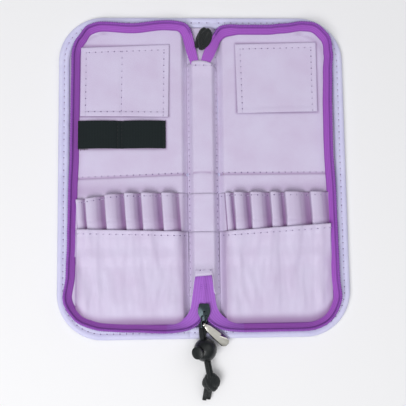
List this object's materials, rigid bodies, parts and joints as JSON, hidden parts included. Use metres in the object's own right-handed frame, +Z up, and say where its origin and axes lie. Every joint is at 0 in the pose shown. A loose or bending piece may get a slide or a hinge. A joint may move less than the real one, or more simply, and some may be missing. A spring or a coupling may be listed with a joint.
{
  "type": "brush case",
  "caption": "Zip brush case lying open, with padded covers, pleated brush slots, pockets, elastic, zip slider and cord lock. Closes like a book and folds back to stand.",
  "frame": {"origin": "centre of the case's footprint on the surface it lies on, with the zip pull's overhang at the bottom edge counted and the free cord left out", "axes": "+X to the right over the open covers, +Y from the zip slider's edge to the top edge, +Z up out of the lining"},
  "size_m": [0.205, 0.2646, 0.0191],
  "materials": {
    "outer_cloth": "plain matte cloth",
    "board": "matte stiffener",
    "satin_lining": "satin weave",
    "bound_edge": "plain folded binding",
    "zip_tape": "herringbone zip tape",
    "zip_coil": "nylon coil",
    "elastic": "ribbed woven elastic",
    "dark_chrome": "polished dark chrome",
    "cord": "braided cord",
    "lock_plastic": "moulded black plastic",
    "spring_steel": "steel wire"
  },
  "bodies": {
    "spine_lower": {"spine_lower_shell": "outer_cloth", "spine_lower_binding": "bound_edge", "spine_lower_lining": "satin_lining", "spine_slot_pocket": "satin_lining", "spine_lower_pocket": "satin_lining", "closed_zip_tape_left": "zip_tape", "closed_zip_tape_right": "zip_tape", "closed_zip_coil_left": "zip_coil", "closed_zip_coil_right": "zip_coil", "zip_bend_left": "zip_tape", "zip_bend_right": "zip_tape", "spine_cord_lower": "cord", "cord_strand_left": "cord", "cord_strand_right": "cord", "cord_end_knot": "cord"},
    "spine_upper": {"spine_upper_shell": "outer_cloth", "spine_upper_binding": "bound_edge", "spine_upper_lining": "satin_lining", "spine_strip": "satin_lining", "zip_end_left": "zip_tape", "zip_end_right": "zip_tape", "spine_cord_upper": "cord", "cord_top_knot": "cord"},
    "cover_left_lower": {"cover_left_lower_shell": "outer_cloth", "cover_left_lower_board": "board", "cover_left_lower_lining": "satin_lining", "cover_left_lower_binding": "bound_edge", "cover_left_lower_zip_tape": "zip_tape", "cover_left_lower_zip_coil": "zip_coil", "slot_pocket_left": "satin_lining", "lower_pocket_left": "satin_lining"},
    "cover_left_upper": {"cover_left_upper_shell": "outer_cloth", "cover_left_upper_board": "board", "cover_left_upper_lining": "satin_lining", "cover_left_upper_binding": "bound_edge", "cover_left_upper_zip_tape": "zip_tape", "cover_left_upper_zip_coil": "zip_coil", "patch_pocket_left": "satin_lining", "elastic_band": "elastic"},
    "cover_right_lower": {"cover_right_lower_shell": "outer_cloth", "cover_right_lower_board": "board", "cover_right_lower_lining": "satin_lining", "cover_right_lower_binding": "bound_edge", "cover_right_lower_zip_tape": "zip_tape", "cover_right_lower_zip_coil": "zip_coil", "slot_pocket_right": "satin_lining", "lower_pocket_right": "satin_lining"},
    "cover_right_upper": {"cover_right_upper_shell": "outer_cloth", "cover_right_upper_board": "board", "cover_right_upper_lining": "satin_lining", "cover_right_upper_binding": "bound_edge", "cover_right_upper_zip_tape": "zip_tape", "cover_right_upper_zip_coil": "zip_coil", "patch_pocket_right": "satin_lining"},
    "slider": {"zip_slider": "dark_chrome"},
    "link": {"pull_link": "dark_chrome"},
    "pull": {"pull_tab": "dark_chrome"},
    "lock": {"cord_lock_body": "lock_plastic", "cord_lock_spring": "spring_steel"},
    "plunger": {"cord_lock_plunger": "lock_plastic"}
  },
  "joints": [
    {"name": "cover_left_fold", "type": "hinge", "parent": "spine_lower", "child": "cover_left_lower", "pos_m": [-0.011, 0, 0.0004], "axis": [0, 1, 0], "range_deg": [0, 90], "deforming": ["zip_bend_left", "zip_end_left"]},
    {"name": "cover_right_fold", "type": "hinge", "parent": "spine_lower", "child": "cover_right_lower", "pos_m": [0.011, 0, 0.0004], "axis": [0, -1, 0], "range_deg": [0, 90], "deforming": ["zip_bend_right", "zip_end_right"]},
    {"name": "stand_fold", "type": "hinge", "parent": "spine_lower", "child": "spine_upper", "pos_m": [0, 0.0031, 0], "axis": [-1, 0, 0], "range_deg": [0, 100]},
    {"name": "stand_fold_left", "type": "hinge", "parent": "cover_left_lower", "child": "cover_left_upper", "pos_m": [-0.011, 0.0031, 0], "axis": [-1, 0, 0], "range_deg": [0, 100]},
    {"name": "stand_fold_right", "type": "hinge", "parent": "cover_right_lower", "child": "cover_right_upper", "pos_m": [0.011, 0.0031, 0], "axis": [-1, 0, 0], "range_deg": [0, 100]},
    {"name": "slider_travel", "type": "slide", "parent": "spine_lower", "child": "slider", "axis": [0, 1, 0], "range_m": [0, 0.016]},
    {"name": "link_swing", "type": "hinge", "parent": "slider", "child": "link", "pos_m": [-0.001, -0.0961, 0.01015], "axis": [1, 0, 0], "range_deg": [-170, 0]},
    {"name": "pull_lift", "type": "hinge", "parent": "link", "child": "pull", "pos_m": [-0.001, -0.1017, 0.00955], "axis": [-0.6561, -0.7547, 0], "range_deg": [0, 90]},
    {"name": "cord_lock_slide", "type": "slide", "parent": "spine_lower", "child": "lock", "axis": [0.1736, -0.9848, 0], "range_m": [0, 0.008]},
    {"name": "plunger_press", "type": "slide", "parent": "lock", "child": "plunger", "axis": [0.5649, 0.0996, -0.8192], "range_m": [0, 0.0015], "stiffness_N_per_m": 300, "springref_m": -0.001, "deforming": ["cord_lock_spring"]}
  ],
  "couplings": [
    {"joint": "stand_fold_left", "follows": "stand_fold", "ratio": 1},
    {"joint": "stand_fold_right", "follows": "stand_fold", "ratio": 1},
    {"joint": "pull_lift", "follows": "cover_right_fold", "ratio": 1}
  ]
}
